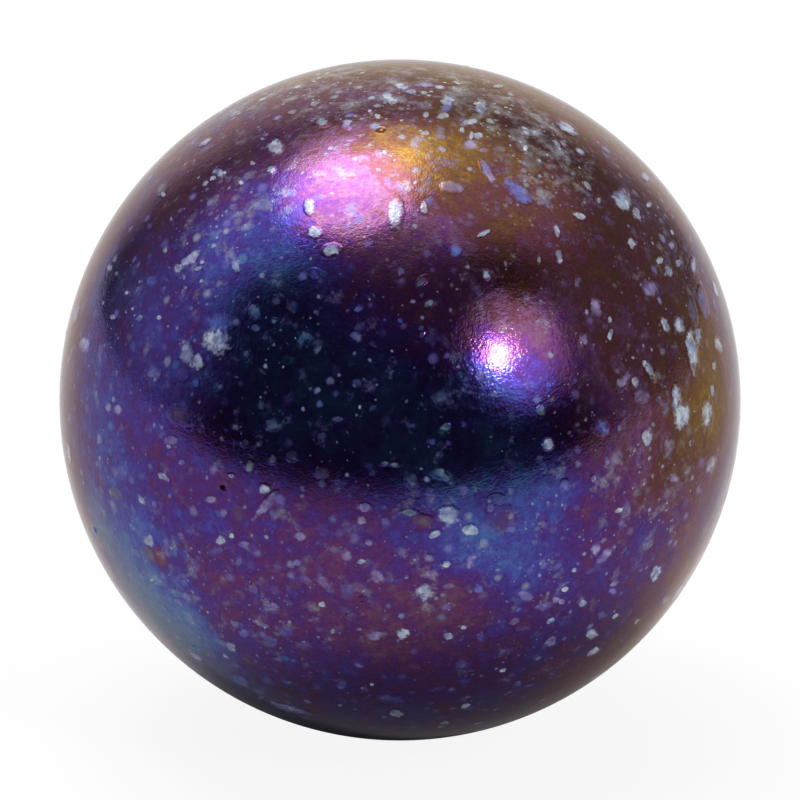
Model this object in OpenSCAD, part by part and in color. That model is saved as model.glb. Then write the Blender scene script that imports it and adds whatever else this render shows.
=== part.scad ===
// Shooter marble: one solid ball of near-black blue glass.
// Crushed coloured glass is melted into its skin, as clouds, chips and burst bubbles.
// Millimetres, +Z up, origin at the centre of the ball. The best side faces -Y, tilted up.

/* [Ball] */
// Diameter of the ball
ball_d = 25; // [14:0.5:50]
// How far the best side is tilted up from level, in degrees
best_tilt = 20; // [0:1:60]

/* [Chips of crushed glass] */
// How far a melted chip stands out of the ball
chip_proud = 0.03; // [0.01:0.005:0.08]
// Spacing of the drops that ran together into a long chip, as a share of its width
drop_step = 0.75; // [0.5:0.05:0.85]
// Number of places on the ball where the rule tries a chip
chip_tries = 110; // [20:1:180]
// Width of the smallest chip that the rule makes
chip_small = 0.3; // [0.2:0.01:0.4]
// Width of the largest chip that the rule makes
chip_large = 0.75; // [0.5:0.01:1.2]

/* [Clouds of fine powder] */
// How far a cloud stands out of the ball
cloud_proud = 0.012; // [0.006:0.002:0.02]
// Number of places on the ball where the rule tries a cloud
cloud_tries = 16; // [4:1:30]
// Width of a cloud that the rule makes
cloud_w = 5.5; // [3:0.5:8]

/* [Burst bubbles] */
// Width of a burst bubble at the skin
bubble_w = 0.32; // [0.2:0.01:0.6]
// Depth of a burst bubble
bubble_deep = 0.06; // [0.03:0.01:0.1]

/* [Hidden] */
$fn = 72;
ball_r = ball_d / 2;
golden_angle = 180 * (3 - sqrt(5));

// How far round to the best side the rule stays away, as the cosine of an angle
best_edge = 0.3;

// Glass colours, as they look from a step away
navy_glass = "#17132b";
white_chip = "#aebccb";
lilac_chip = "#9487b4";
blue_chip = "#4f66b4";
teal_chip = "#6f9796";
amber_chip = "#6d5650";

// Clouds on the best side: across and up in hundredths of the radius, width in mm, colour
CLOUDS = [
    [-46,  47, 5.5, "#3a4090"], [-24,  62, 4.0, "#57408f"], [-68,  12, 5.0, "#35245c"],
    [-66, -18, 4.5, "#47357c"], [-72, -48, 5.0, "#455f92"], [-38, -48, 6.0, "#452560"],
    [  8, -64, 6.0, "#552850"], [ 34, -42, 5.5, "#3d4a8c"], [ 62, -36, 5.0, "#52295c"],
    [ 62,  40, 6.5, "#4a2530"], [ 12,  70, 4.5, "#8a5c30"], [ 84,   0, 4.0, "#7d5a3c"]
];

// Chips on the best side: across and up in hundredths of the radius,
// width and length in mm, lean in degrees from level
WHITE = [
    [-53,  19, 1.05, 1.20,  80], [-62,  12, 0.50, 0.75,  80], [-58,  11, 0.40, 0.40,   0],
    [-52,  66, 0.45, 0.60,  30], [-36,  74, 0.50, 0.50,   0], [-37,  67, 0.30, 0.30,   0],
    [ -1,  55, 0.55, 0.95,  90], [-20,  44, 0.50, 0.60, -20], [-24,  49, 0.40, 0.45, -30],
    [-26,  56, 0.40, 0.45,  80], [-23,  81, 0.40, 0.50,   0], [  0,  88, 0.45, 0.80, -30],
    [ 14,  87, 0.55, 0.55,   0], [ 23,  85, 0.60, 0.70,  60], [ 21,  81, 0.35, 0.60,   0],
    [ 48,  79, 0.55, 0.90, -30], [ 52,  53, 0.30, 0.45, -30], [ 24,  48, 0.25, 0.45,  30],
    [ 65,  58, 0.75, 0.90, -50], [ 69,  54, 0.40, 0.60, -60], [ 67,  46, 0.35, 0.45, -80],
    [ 46,  42, 0.35, 0.60, -75], [ 25,  36, 0.30, 0.35,  90], [ 81,  22, 0.60, 0.70, -70],
    [ 77,  21, 0.40, 0.60, -80], [ 85,  14, 0.75, 1.30, -85], [ 87,  18, 0.45, 0.60,  90],
    [ 81,   0, 0.50, 0.90,  90], [ 83,  -5, 0.90, 1.10,  90], [ 90,  -5, 0.85, 1.15,  90],
    [ 68,   5, 0.35, 0.35,   0], [ 73,   8, 0.35, 0.80, -65], [ 86,  39, 0.45, 0.50,  90],
    [ 14, -34, 0.65, 0.70,   0], [ 20, -38, 0.42, 0.48,   0], [ 13, -48, 0.28, 0.38,   0],
    [  8, -56, 0.62, 0.62,   0], [ 14, -69, 0.45, 0.45,   0], [  1, -68, 0.45, 0.48,   0],
    [-39, -26, 0.33, 0.42,   0], [-52, -41, 0.38, 0.42,   0], [ 43, -13, 0.32, 0.42,  40],
    [ 58, -44, 0.30, 0.55,  50], [ 75, -50, 0.45, 0.65,  70], [ 56, -69, 0.50, 0.60,   0],
    [-73, -41, 0.38, 0.50, -60], [-75, -30, 0.32, 0.50, -60], [ 44, -65, 0.28, 0.45,  30]
];
LILAC = [
    [-40, -33, 0.32, 1.05,  50], [ 60, -46, 0.30, 1.15,  48], [ 26,  66, 0.32, 0.85, -60],
    [ 57,  27, 0.40, 0.65, -70], [-38, -60, 0.40, 0.60,   0], [-22, -53, 0.36, 0.85, -45],
    [ 42, -60, 0.32, 0.75,  15], [ 20,  74, 0.40, 0.60,   0], [ 15,  62, 0.42, 0.70, -20],
    [ -7, -69, 0.40, 0.75,   0], [ 36, -57, 0.35, 0.55, -40], [ 73,  32, 0.60, 0.75, -30],
    [-92,  16, 0.50, 0.55,  90], [-68, -44, 0.50, 0.60,  90], [ 70,   0, 0.45, 0.55,   0]
];
BLUE = [
    [ 34,  60, 0.55, 1.20, -35], [ 59,  -8, 0.45, 0.50,  90], [ 16,  43, 0.40, 0.45,  60],
    [-25,  36, 0.36, 0.36,   0], [-12,  26, 0.28, 0.36,  20], [-63, -53, 0.55, 0.55,   0],
    [ 22, -56, 0.45, 0.60, -30], [-72,  34, 0.40, 0.50,  60], [-38, -71, 0.55, 0.60,   0],
    [-33, -68, 0.50, 0.60, -40], [ 62, -56, 0.35, 0.40,   0], [-46, -82, 0.60, 0.80,   0]
];
TEAL = [
    [-42,  25, 0.32, 0.45, -70], [-28,  18, 0.40, 0.50,  50], [-37,  -7, 0.46, 0.50,   0],
    [-17,  -5, 0.25, 0.46,   0], [-23, -11, 0.28, 0.34,   0], [ 13,  -8, 0.24, 0.30,   0],
    [ 11, -21, 0.40, 0.52, -15], [  8,  28, 0.24, 0.34,  10], [-48,  39, 0.32, 0.44, -60]
];
AMBER = [
    [-63,  -4, 0.70, 1.10,   0], [-83, -28, 0.55, 0.60, -50], [-74, -45, 0.55, 0.70, -60],
    [-48, -33, 0.48, 0.55, -60], [  7, -35, 0.50, 0.75, -30]
];

// Burst bubbles on the best side: across and up in hundredths of the radius
BUBBLES = [
    [-5, 79], [-11, -59], [-63, -54], [-89, -38], [-47, -66], [-60, -73], [53, -60], [-51, -25]
];

// A fixed value from 0 to 1 for place i, so that the speckle never changes
function chance(i, k) = let (v = 4375.8545 * sin(78.233 * i + 37.719 * k)) v - floor(v);

// Direction of a place on the best side, from hundredths of the radius
function best_dir(x, y) =
    let (u = x / 100, v = y / 100, near = sqrt(1 - u * u - v * v))
    [u, v * sin(best_tilt) - near * cos(best_tilt), v * cos(best_tilt) + near * sin(best_tilt)];

// Direction of place i of n, spread evenly over the whole ball
function spread_dir(i, n) =
    let (z = 1 - (2 * i + 1) / n, a = golden_angle * i, flat = sqrt(1 - z * z))
    [flat * cos(a), flat * sin(a), z];

// How squarely a direction faces the best side, 1 at its middle
function facing(dir) = dir * best_dir(0, 0);

// Turns +Z to a direction, with +X down the ball and +Y level
module toward(dir) {
    rotate([0, 0, atan2(dir.y, dir.x)]) rotate([0, acos(dir.z), 0]) children();
}

// Lens of melted glass on the ball's +Z pole: it meets the skin in a circle of width w
module lens(w, proud) {
    top = ball_r + proud;
    ring_z = sqrt(ball_r * ball_r - w * w / 4);
    middle = (top * top - ball_r * ball_r) / (2 * (top - ring_z));
    translate([0, 0, middle]) sphere(top - middle);
}

// Ball that bites a burst bubble of width w out of the +Z pole
module bite(w, deep) {
    low = ball_r - deep;
    ring_z = sqrt(ball_r * ball_r - w * w / 4);
    middle = (ball_r * ball_r - low * low) / (2 * (ring_z - low));
    translate([0, 0, middle]) sphere(middle - low);
}

// Chip on the +Z pole: round, or a row of drops that ran together
module chip(w, l, lean) {
    drops = 1 + round((l - w) / (w * drop_step));
    reach = (l - w) / ball_r * 180 / PI;
    rotate([0, 0, 90 + lean]) for (i = [0 : drops - 1]) {
        along = drops > 1 ? i / (drops - 1) - 0.5 : 0;
        rotate([0, reach * along, 0]) lens(w * (1 - 0.25 * abs(along)), chip_proud);
    }
}

// Every chip of one list
module best_chips(list) {
    for (c = list) toward(best_dir(c[0], c[1])) chip(c[2], c[3], c[4]);
}

// Chips that the rule spreads over the sides and the back
module spread_chips(k_from, k_to) {
    for (i = [0 : chip_tries - 1]) {
        dir = spread_dir(i, chip_tries);
        kind = chance(i, 1);
        if (facing(dir) < best_edge && kind >= k_from && kind < k_to) {
            w = chip_small + (chip_large - chip_small) * pow(chance(i, 2), 2);
            toward(dir) rotate([0, 3 * chance(i, 3), 0]) chip(w, w * (1 + pow(chance(i, 4), 2)), 180 * chance(i, 5));
        }
    }
}

// Clouds that the rule spreads over the sides and the back
module spread_clouds() {
    tones = [for (c = CLOUDS) c[3]];
    for (i = [0 : cloud_tries - 1]) {
        dir = spread_dir(i, cloud_tries);
        if (facing(dir) < -best_edge)
            color(tones[floor(chance(i, 6) * len(tones))]) toward(dir) lens(cloud_w, cloud_proud);
    }
}

module clouds() {
    for (c = CLOUDS) color(c[3]) toward(best_dir(c[0], c[1])) lens(c[2], cloud_proud);
    spread_clouds();
}

module chips() {
    color(white_chip) { best_chips(WHITE); spread_chips(0, 0.55); }
    color(lilac_chip) { best_chips(LILAC); spread_chips(0.55, 0.75); }
    color(blue_chip) { best_chips(BLUE); spread_chips(0.75, 0.88); }
    color(teal_chip) { best_chips(TEAL); spread_chips(0.88, 0.95); }
    color(amber_chip) { best_chips(AMBER); spread_chips(0.95, 1); }
}

// One piece of glass: the ball with all that melted into it, less the burst bubbles
module marble() {
    difference() {
        union() {
            color(navy_glass) sphere(ball_r);
            clouds();
            chips();
        }
        color(navy_glass) for (b = BUBBLES) toward(best_dir(b[0], b[1])) bite(bubble_w, bubble_deep);
    }
}

marble();
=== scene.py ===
# %% [markdown]
# # A fumed and speckled glass marble
#
# A shooter marble is one solid ball of glass, 25 mm across. The maker rolls a hot ball of
# near-black blue glass in crushed and powdered coloured glass, then passes it through metal
# fumes. The fumes leave a film far thinner than a hair, which mirrors gold where it is
# thinnest and magenta, violet, blue and teal as it thickens. This lesson builds the ball, melts
# the chips of glass into it, lays the film over it and lights it as in a small photo tent.

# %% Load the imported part
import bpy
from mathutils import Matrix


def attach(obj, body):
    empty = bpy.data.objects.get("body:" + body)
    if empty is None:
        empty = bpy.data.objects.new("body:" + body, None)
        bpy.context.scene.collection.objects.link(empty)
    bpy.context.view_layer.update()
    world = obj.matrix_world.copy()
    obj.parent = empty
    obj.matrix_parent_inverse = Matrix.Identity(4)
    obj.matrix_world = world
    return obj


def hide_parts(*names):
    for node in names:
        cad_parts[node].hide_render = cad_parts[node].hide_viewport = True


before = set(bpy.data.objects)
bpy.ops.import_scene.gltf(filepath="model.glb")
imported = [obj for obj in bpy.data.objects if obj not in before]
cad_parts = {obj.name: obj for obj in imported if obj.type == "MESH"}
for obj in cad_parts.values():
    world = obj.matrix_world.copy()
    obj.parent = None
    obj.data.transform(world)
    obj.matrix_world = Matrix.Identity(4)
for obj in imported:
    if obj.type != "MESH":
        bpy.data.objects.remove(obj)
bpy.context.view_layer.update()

import math
from collections import namedtuple

import bmesh
import bpy
import numpy as np
from mathutils import Matrix, Vector

MM = 0.001
BALL_R = 12.5 * MM


# %% [markdown]
# Colours are written as the hex values that a paint program shows. Blender's shaders count
# light instead, so one function turns the first into the second. A second small function adds
# a node, sets it up and links it, so that each material reads as a list of steps. Inputs go by
# name, or in a list by their order: a Map Range node takes its value, the lowest and highest that
# it reads, and what those two become. A Mix node has a pair of inputs for each kind of data, so
# these go by number.

# %% Short names and two helpers
MATH, VECTOR_MATH, RANGE = "ShaderNodeMath", "ShaderNodeVectorMath", "ShaderNodeMapRange"
MIX, NOISE = "ShaderNodeMix", "ShaderNodeTexNoise"
VALUE_A, VALUE_B, VECTOR_A, VECTOR_B, COLOUR_A, COLOUR_B = 2, 3, 4, 5, 6, 7      # inputs of a Mix node
MIXED_VECTOR, MIXED_COLOUR = 1, 2                                                # and its outputs


def linear(hex_colour, alpha=1.0):
    """sRGB hex to linear RGBA."""
    parts = [int(hex_colour[i:i + 2], 16) / 255 for i in (1, 3, 5)]
    return [c / 12.92 if c <= 0.04045 else ((c + 0.055) / 1.055) ** 2.4 for c in parts] + [alpha]


def add(tree, kind, inputs=(), **settings):
    """Adds a node. An input is given a value, a socket, or a node for its first output."""
    made = tree.nodes.new(kind)
    for name, value in settings.items():
        setattr(made, name, value)
    for key, value in inputs.items() if isinstance(inputs, dict) else enumerate(inputs):
        if isinstance(value, bpy.types.Node):
            value = value.outputs[0]
        if isinstance(value, bpy.types.NodeSocket):
            tree.links.new(value, made.inputs[key])
        else:
            made.inputs[key].default_value = value
    return made


print("white in linear light:", linear("#ffffff")[:3])

# %% [markdown]
# Everything on the best side was placed on the photograph, in pixels of its 800-pixel
# frame, where the ball is a circle of radius 341 about (400, 400). The same rule as in the
# solid turns such a place into a direction: the best side faces -Y and is tilted up 20 degrees.

# %% Places on the best side
TILT = math.radians(20)
SEEN = Vector((0, -math.cos(TILT), math.sin(TILT)))       # from the ball towards the viewer
UP_SEEN = Vector((0, math.sin(TILT), math.cos(TILT)))
PHOTO_MIDDLE = 400
PHOTO_R = 341
OUTLINE = 0.995          # a place past this share of the radius is pulled in to it


def best_dir(x, y):
    """Direction of a place in the photograph."""
    across, up = (x - PHOTO_MIDDLE) / PHOTO_R, (PHOTO_MIDDLE - y) / PHOTO_R
    far = math.hypot(across, up)
    if far > OUTLINE:
        across, up = across * OUTLINE / far, up * OUTLINE / far
    near = math.sqrt(1 - across ** 2 - up ** 2)
    return Vector((across, 0, 0)) + UP_SEEN * up + SEEN * near


print("middle of the best side:", [round(c, 3) for c in best_dir(PHOTO_MIDDLE, PHOTO_MIDDLE)])

# %% [markdown]
# ## The ball
#
# A ball could be a UV sphere, but its poles would pinch the relief. An icosphere has even
# triangles of about 0.2 mm all over. A burst bubble is only 0.3 mm wide, so the faces round each
# one are cut finer first. Then each point goes to its true height: on the ball, down in a
# bubble's bowl, or up on the bubble's thin lip.

# %% Burst bubbles
BUBBLES = [
    (381, 131), (362, 598), (185, 583), (96, 530), (239, 622), (196, 647), (582, 602), (225, 485),
]
BUBBLE_W = 0.32 * MM
BUBBLE_DEEP = 0.06 * MM
LIP = 0.006 * MM
LIP_WIDE = 0.6           # width of the lip, as a share of the bubble's radius

bubble_ways = [best_dir(x, y) for x, y in BUBBLES]
print(len(bubble_ways), "burst bubbles")

# %% Ball mesh
FINER_WITHIN = (1.6, 1.1)      # how far each finer cut reaches round a bubble, in bubble widths


def off_bubble(way, bubble_way):
    """Distance over the ball from the middle of a bubble."""
    return (way - bubble_way).length * BALL_R


bm = bmesh.new()
bmesh.ops.create_icosphere(bm, subdivisions=7, radius=BALL_R)
for reach in FINER_WITHIN:
    close = []
    for edge in bm.edges:
        way = ((edge.verts[0].co + edge.verts[1].co) / 2).normalized()
        if any(off_bubble(way, b) < reach * BUBBLE_W for b in bubble_ways):
            close.append(edge)
    bmesh.ops.subdivide_edges(bm, edges=close, cuts=1, use_grid_fill=True)
    bmesh.ops.triangulate(bm, faces=[f for f in bm.faces if len(f.verts) > 3])
for v in bm.verts:
    way = v.co.normalized()
    height = 0.0
    for b in bubble_ways:
        out = off_bubble(way, b) / (BUBBLE_W / 2)
        if out < 1:
            height -= BUBBLE_DEEP * (1 - out ** 2)
        elif out < 1 + LIP_WIDE:
            height += LIP * math.sin(math.pi * (out - 1) / LIP_WIDE)
    v.co = way * (BALL_R + height)
ball_mesh = bpy.data.meshes.new("marble_skin")
bm.to_mesh(ball_mesh)
bm.free()
marble = bpy.data.objects.new("marble_skin", ball_mesh)
bpy.context.collection.objects.link(marble)
print("ball:", len(ball_mesh.polygons), "triangles")

# %% [markdown]
# ## Chips of crushed glass
#
# The chips on the best side are listed: place, size across and up in pixels, lean in
# degrees, and how well the chip covers the dark glass. Sizes are as seen, so a chip near the
# outline is written narrow and comes out round when it is laid back on the ball. Each list is
# one kind of glass, with the two shades that its chips vary between and how soft its edge is.

# %% Chips seen on the best side
CHIPS = {
    "milk_white": ("#b2bfc6", "#7c8db0", 0.34, [
        (221, 174, 12, 10, 0, 1.0), (214, 179, 7, 4, 30, 0.8), (206, 184, 7, 4, 55, 0.8),
        (205, 143, 13, 4, 30, 0.7), (164, 195, 6, 4, 110, 0.9), (242, 184, 3, 3, 0, 1.0),
        (253, 164, 4, 3, 0, 0.8), (172, 219, 3, 5, 0, 0.8), (167, 251, 5, 7, 0, 0.85),
        (190, 260, 16, 8, 30, 0.75), (179, 268, 8, 7, 0, 0.7), (203, 263, 4, 4, 0, 1.0),
        (200, 269, 8, 4, 15, 0.7), (236, 267, 7, 11, 20, 0.75), (141, 319, 5, 9, -30, 0.7),
        (134, 309, 3, 3, 0, 0.9), (128, 293, 4, 4, 0, 0.8), (114, 317, 4, 4, 0, 0.8),
        (111, 268, 4, 5, 0, 0.8), (118, 274, 3, 3, 0, 0.8), (218, 341, 26, 23, 10, 1.0),
        (200, 362, 11, 12, 0, 0.8), (189, 354, 11, 20, 10, 0.75), (161, 318, 4, 3, 0, 1.0),
        (275, 148, 14, 11, 0, 1.0), (272, 171, 7, 8, -30, 0.9), (263, 140, 5, 2, 0, 0.9),
        (322, 124, 13, 7, 0, 0.7), (370, 112, 5, 3, -20, 1.0), (378, 117, 7, 4, 0, 0.9),
        (388, 96, 9, 6, 0, 1.0), (394, 103, 9, 6, -10, 1.0), (402, 88, 13, 5, -10, 0.95),
        (411, 93, 10, 5, 0, 0.95), (424, 94, 6, 3, 0, 0.8), (446, 102, 12, 9, 0, 1.0),
        (444, 117, 12, 5, 0, 0.8), (426, 116, 5, 7, 0, 0.7), (425, 135, 7, 5, 0, 0.7),
        (315, 105, 7, 5, 0, 0.6), (395, 214, 14, 24, 0, 0.85), (424, 209, 5, 9, 0, 0.7),
        (310, 208, 9, 13, 0, 0.8), (316, 234, 11, 9, 0, 0.7), (332, 251, 15, 10, 10, 0.85),
        (480, 107, 12, 14, 0, 0.8), (471, 123, 15, 5, 10, 0.8), (462, 131, 6, 5, -30, 0.9),
        (478, 137, 7, 5, 0, 0.9), (471, 136, 4, 8, 0, 0.8), (525, 149, 4, 4, 0, 1.0),
        (531, 134, 17, 7, 0, 0.6), (566, 128, 19, 8, -32, 1.0), (556, 145, 11, 5, -60, 0.8),
        (497, 87, 9, 3, 0, 0.9), (459, 84, 8, 2, 0, 0.8), (587, 187, 10, 4, -50, 0.9),
        (598, 201, 5, 7, 0, 0.9), (579, 217, 11, 6, -30, 1.0), (556, 232, 5, 10, 10, 0.9),
        (483, 235, 12, 4, 30, 1.0), (486, 276, 6, 8, 0, 1.0), (622, 201, 16, 18, 30, 0.95),
        (635, 214, 7, 12, 25, 0.9), (630, 243, 7, 10, 20, 1.0), (645, 177, 9, 5, -50, 0.9),
        (648, 206, 5, 6, 0, 0.9), (671, 233, 3, 5, 20, 0.9), (658, 261, 6, 7, 0, 0.8),
        (678, 264, 6, 8, 0, 0.9), (667, 272, 8, 11, 0, 0.85), (693, 266, 6, 13, 10, 0.95),
        (678, 324, 10, 16, 15, 1.0), (664, 326, 6, 14, 15, 0.9), (697, 336, 7, 14, 5, 0.95),
        (691, 352, 9, 34, 8, 1.0), (675, 396, 7, 19, 5, 1.0), (680, 414, 13, 26, 0, 0.95),
        (706, 415, 9, 30, -2, 1.0), (711, 391, 3, 10, 0, 0.9), (717, 345, 6, 15, 10, 0.8),
        (713, 366, 3, 9, 0, 0.9), (643, 363, 5, 6, 0, 1.0), (648, 370, 6, 20, 25, 0.8),
        (633, 381, 6, 9, 0, 0.9), (609, 335, 4, 8, -10, 1.0), (608, 320, 4, 8, -10, 0.9),
        (558, 257, 7, 15, 10, 0.9), (505, 266, 3, 6, 0, 0.9), (538, 261, 3, 6, 0, 0.8),
        (646, 438, 9, 13, 0, 0.8), (710, 465, 7, 16, -20, 0.7), (448, 515, 19, 15, 0, 0.9),
        (470, 529, 12, 9, 5, 1.0), (434, 533, 9, 6, 20, 1.0), (445, 564, 10, 7, 0, 1.0),
        (426, 591, 17, 15, 0, 1.0), (448, 635, 11, 8, 0, 1.0), (403, 633, 10, 10, 0, 1.0),
        (463, 626, 6, 4, 0, 0.9), (265, 488, 10, 8, 0, 0.95), (222, 540, 10, 8, 0, 0.9),
        (233, 535, 4, 4, 0, 1.0), (547, 444, 9, 10, -40, 1.0), (617, 510, 8, 5, 25, 1.0),
        (564, 588, 6, 4, 30, 1.0), (573, 569, 5, 4, 40, 1.0), (550, 620, 9, 5, 30, 1.0),
        (655, 572, 14, 8, 68, 1.0), (590, 633, 12, 9, 20, 0.9), (594, 651, 12, 5, 35, 0.9),
        (150, 540, 8, 10, 40, 0.9), (143, 500, 6, 11, 25, 0.85), (361, 560, 8, 5, 0, 0.9),
        (323, 603, 6, 5, 0, 0.9), (333, 630, 6, 5, 0, 0.9), (465, 705, 7, 4, 15, 0.9),
        (444, 722, 9, 3, 8, 0.8), (502, 669, 6, 4, 10, 0.9), (372, 683, 4, 3, 0, 1.0),
        (232, 646, 12, 8, -40, 0.7), (304, 409, 4, 4, 0, 1.0), (360, 407, 3, 5, 0, 0.9),
        (232, 475, 6, 4, 0, 1.0), (164, 476, 14, 6, -35, 0.8), (170, 446, 5, 5, 0, 1.0),
        (615, 615, 7, 3, 35, 0.9), (636, 621, 7, 3, 45, 0.8), (396, 712, 13, 6, 0, 0.6),
        (582, 603, 9, 8, 0, 0.7), (631, 358, 3, 3, 0, 1.0), (153, 579, 4, 3, 0, 0.9),
    ]),
    "lilac": ("#9a92bb", "#6a68a4", 0.5, [
        (266, 505, 28, 8, 50, 0.8), (602, 556, 27, 7, 48, 0.9), (595, 548, 12, 8, 55, 0.9),
        (602, 540, 10, 5, 55, 0.6), (487, 173, 22, 7, -60, 0.7), (469, 146, 14, 8, 0, 0.7),
        (484, 152, 10, 5, 0, 0.5), (595, 308, 10, 15, 15, 0.8), (585, 313, 4, 6, 0, 0.8),
        (583, 340, 6, 10, 10, 0.7), (577, 281, 6, 7, 0, 0.5), (270, 606, 15, 9, 0, 0.7),
        (325, 582, 22, 10, -45, 0.5), (377, 575, 12, 9, -40, 0.6), (545, 604, 18, 7, 15, 0.7),
        (554, 599, 7, 7, 0, 0.8), (452, 189, 17, 9, -10, 0.45), (376, 634, 18, 9, 10, 0.7),
        (524, 594, 13, 8, -35, 0.7), (648, 289, 17, 13, -20, 0.8), (671, 246, 6, 8, 30, 0.9),
        (86, 345, 8, 12, 0, 0.9), (167, 551, 10, 14, 0, 0.6), (640, 397, 12, 10, 0, 0.5),
        (623, 380, 20, 7, 62, 0.8), (347, 127, 8, 6, 0, 0.7), (425, 85, 20, 5, 0, 0.7),
        (298, 562, 8, 7, 0, 0.8), (301, 535, 10, 7, 0, 0.7), (365, 506, 9, 7, 0, 0.7),
        (362, 520, 8, 7, -30, 0.8), (369, 541, 9, 8, 0, 0.7), (347, 555, 9, 14, 20, 0.5),
        (430, 557, 7, 7, 0, 0.7), (431, 572, 13, 11, 0, 0.4), (448, 585, 11, 6, 0, 0.5),
        (471, 559, 13, 8, 50, 0.7), (560, 601, 6, 4, 20, 0.8), (513, 620, 10, 6, 25, 0.6),
        (564, 484, 8, 9, 0, 0.6), (592, 478, 5, 6, 0, 0.8), (550, 641, 10, 7, 35, 0.7),
        (613, 583, 7, 5, 20, 0.8), (119, 410, 7, 8, 0, 0.8), (110, 407, 5, 8, 0, 0.7),
        (101, 440, 5, 8, 0, 0.6), (172, 440, 11, 8, 0, 0.6), (183, 462, 6, 5, 0, 0.8),
        (155, 374, 12, 8, 20, 0.45), (212, 499, 9, 6, 0, 0.6), (225, 512, 6, 7, 0, 0.5),
        (245, 543, 8, 6, 0, 0.7), (255, 588, 8, 7, 0, 0.6), (240, 560, 6, 10, 0, 0.5),
        (197, 565, 6, 13, 25, 0.5), (262, 623, 14, 5, -20, 0.6), (245, 632, 8, 6, 0, 0.6),
        (672, 478, 9, 8, 0, 0.6), (606, 462, 5, 5, 30, 0.8), (316, 618, 9, 5, 0, 0.4),
        (665, 600, 5, 9, -25, 0.6), (155, 505, 6, 8, 0, 0.5), (430, 495, 7, 15, 5, 0.4),
        (491, 508, 8, 9, 0, 0.6),
    ]),
    "cobalt": ("#3d58aa", "#6478bd", 0.5, [
        (516, 192, 26, 12, -38, 0.8), (600, 427, 11, 13, 0, 0.95), (455, 252, 9, 9, 0, 0.7),
        (359, 310, 9, 6, 20, 0.7), (315, 275, 10, 9, 0, 0.5), (447, 109, 10, 5, 0, 0.8),
        (221, 325, 23, 15, 0, 0.9), (450, 524, 12, 6, 0, 0.8), (478, 588, 9, 8, -30, 0.7),
        (184, 580, 13, 12, 0, 0.5), (153, 281, 9, 9, 40, 0.5), (270, 641, 13, 8, -20, 0.5),
        (286, 630, 13, 9, -40, 0.5), (612, 591, 7, 7, 0, 0.8), (343, 684, 9, 7, 0, 0.5),
        (364, 688, 9, 6, 0, 0.45), (240, 680, 16, 8, -30, 0.5), (268, 680, 9, 6, 0, 0.5),
        (217, 636, 14, 7, -35, 0.5), (460, 662, 11, 9, 0, 0.4), (390, 697, 22, 6, -5, 0.4),
        (480, 636, 8, 7, 0, 0.6), (218, 550, 12, 8, 0, 0.5), (125, 471, 8, 17, -5, 0.5),
        (197, 384, 5, 8, -20, 0.7), (183, 376, 12, 10, 0, 0.3), (517, 683, 8, 5, 20, 0.5),
        (600, 614, 8, 7, 0, 0.4), (348, 590, 12, 14, 0, 0.35), (402, 675, 9, 7, 0, 0.3),
        (691, 312, 7, 26, 10, 0.45), (702, 302, 8, 24, 12, 0.45),
    ]),
    "sea_green": ("#6f8d8a", "#35566c", 0.6, [
        (256, 313, 8, 11, 10, 0.8), (305, 338, 12, 7, 45, 0.7), (303, 342, 5, 12, -20, 0.6),
        (274, 424, 13, 10, 0, 0.6), (340, 419, 12, 6, 0, 0.7), (322, 437, 9, 7, 0, 0.6),
        (445, 427, 8, 6, 0, 0.9), (438, 472, 12, 9, -10, 0.95), (445, 476, 7, 6, -30, 0.7),
        (428, 305, 9, 6, 15, 0.9), (422, 282, 12, 6, 45, 0.6), (163, 190, 12, 7, 60, 0.6),
        (412, 481, 17, 9, -60, 0.4), (384, 463, 7, 4, 10, 0.8), (395, 464, 8, 4, 0, 0.8),
        (257, 329, 7, 5, 0, 0.5), (275, 322, 5, 5, 0, 0.6), (222, 386, 6, 6, 0, 0.6),
        (421, 336, 3, 8, -35, 0.8), (358, 383, 9, 8, 0, 0.4), (440, 397, 13, 12, 0, 0.45),
        (540, 411, 7, 8, 0, 0.6), (274, 459, 7, 8, 0, 0.5), (293, 456, 10, 8, 0, 0.3),
        (322, 471, 12, 10, 0, 0.35), (323, 482, 6, 6, 0, 0.6), (409, 512, 15, 6, 0, 0.8),
        (251, 465, 7, 9, -20, 0.7), (532, 163, 16, 20, 0, 0.35), (466, 97, 20, 12, 0, 0.35),
        (266, 338, 7, 6, 0, 0.35), (293, 308, 8, 8, 0, 0.35), (372, 408, 8, 6, 0, 0.4),
        (246, 442, 7, 8, 0, 0.4), (261, 697, 5, 4, 0, 0.8),
    ]),
    "amber_grey": ("#57473f", "#5f5a54", 0.7, [
        (184, 415, 22, 15, -15, 0.6), (118, 494, 12, 8, -50, 0.7), (149, 553, 9, 14, 25, 0.7),
        (240, 513, 10, 13, 20, 0.5), (424, 520, 17, 10, -15, 0.6), (500, 520, 26, 22, 40, 0.25),
        (496, 499, 14, 10, 0, 0.3), (297, 583, 10, 9, 0, 0.3),
    ]),
}
kinds = {kind: len(rows) for kind, (_, _, _, rows) in CHIPS.items()}
print("chips by eye:", kinds, "in all", sum(kinds.values()))

# %% [markdown]
# The photograph doesn't show the sides and the back. A real maker's roll covers them with the
# same crushed glass, so a rule spreads chips there at the same density: places wind round the ball
# by the golden angle, and a fixed chance gives each one its size, lean and kind. The larger ones
# lie close to where the solid has them.

# %% Even places and fixed chances
def spread_dir(i, n):
    """Direction of place i of n, spread evenly over the whole ball."""
    z = 1 - (2 * i + 1) / n
    turn = math.pi * (3 - math.sqrt(5)) * i
    flat = math.sqrt(1 - z * z)
    return Vector((flat * math.cos(turn), flat * math.sin(turn), z))


def chance(i, k):
    """A fixed value from 0 to 1 for place i, the same one as in the solid."""
    v = 4375.8545 * math.sin(math.radians(78.233 * i + 37.719 * k))
    return v - math.floor(v)


print("chances of place 1:", [round(chance(1, k), 2) for k in range(1, 6)])

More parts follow.
